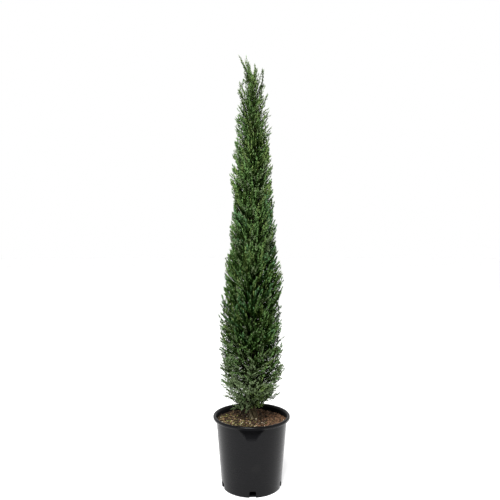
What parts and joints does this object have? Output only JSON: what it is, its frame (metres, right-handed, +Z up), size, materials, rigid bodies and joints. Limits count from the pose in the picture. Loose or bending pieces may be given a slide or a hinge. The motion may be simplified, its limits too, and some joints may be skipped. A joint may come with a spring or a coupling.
{
  "type": "potted italian cypress tree",
  "caption": "Narrow upright italian cypress tree with dense scale foliage in upright plumes, in a round tapered black nursery pot with a rolled rim.",
  "frame": {"origin": "centre of the pot's flat underside", "axes": "+Z up along the trunk, -Y towards the front, +X to the right seen from the front"},
  "size_m": [0.3, 0.3, 1.681],
  "materials": {
    "pot": "satin black polypropylene with scuffs and dust",
    "potting_mix": "loose bark, peat and white perlite",
    "bark": "thin grey-brown fibrous bark",
    "foliage": "dense matte grey-green scale foliage"
  },
  "bodies": {
    "root": {"pot": "pot", "potting_mix": "potting_mix", "trunk": "bark", "bough_right": "bark", "bough_back_right": "bark", "bough_back_left": "bark", "bough_left": "bark", "bough_front_left": "bark", "bough_front_right": "bark", "foliage_fringe_right": "foliage", "foliage_fringe_back_right": "foliage", "foliage_fringe_back_left": "foliage", "foliage_fringe_left": "foliage", "foliage_fringe_front_left": "foliage", "foliage_fringe_front_right": "foliage", "foliage_skirt_1": "foliage", "foliage_skirt_2": "foliage", "foliage_skirt_3": "foliage", "foliage_skirt_4": "foliage", "foliage_skirt_5": "foliage", "foliage_skirt_6": "foliage", "foliage_skirt_7": "foliage", "foliage_skirt_8": "foliage", "foliage_low_1": "foliage", "foliage_low_2": "foliage", "foliage_low_3": "foliage", "foliage_low_4": "foliage", "foliage_low_5": "foliage", "foliage_low_6": "foliage", "foliage_low_7": "foliage", "foliage_low_8": "foliage", "foliage_middle_1": "foliage", "foliage_middle_2": "foliage", "foliage_middle_3": "foliage", "foliage_middle_4": "foliage", "foliage_middle_5": "foliage", "foliage_middle_6": "foliage", "foliage_middle_7": "foliage", "foliage_upper_1": "foliage", "foliage_upper_2": "foliage", "foliage_upper_3": "foliage", "foliage_upper_4": "foliage", "foliage_upper_5": "foliage", "foliage_upper_6": "foliage", "foliage_top_1": "foliage", "foliage_top_2": "foliage", "foliage_top_3": "foliage", "foliage_top_4": "foliage", "foliage_top_5": "foliage", "foliage_top_6": "foliage", "foliage_leader": "foliage"}
  },
  "joints": []
}
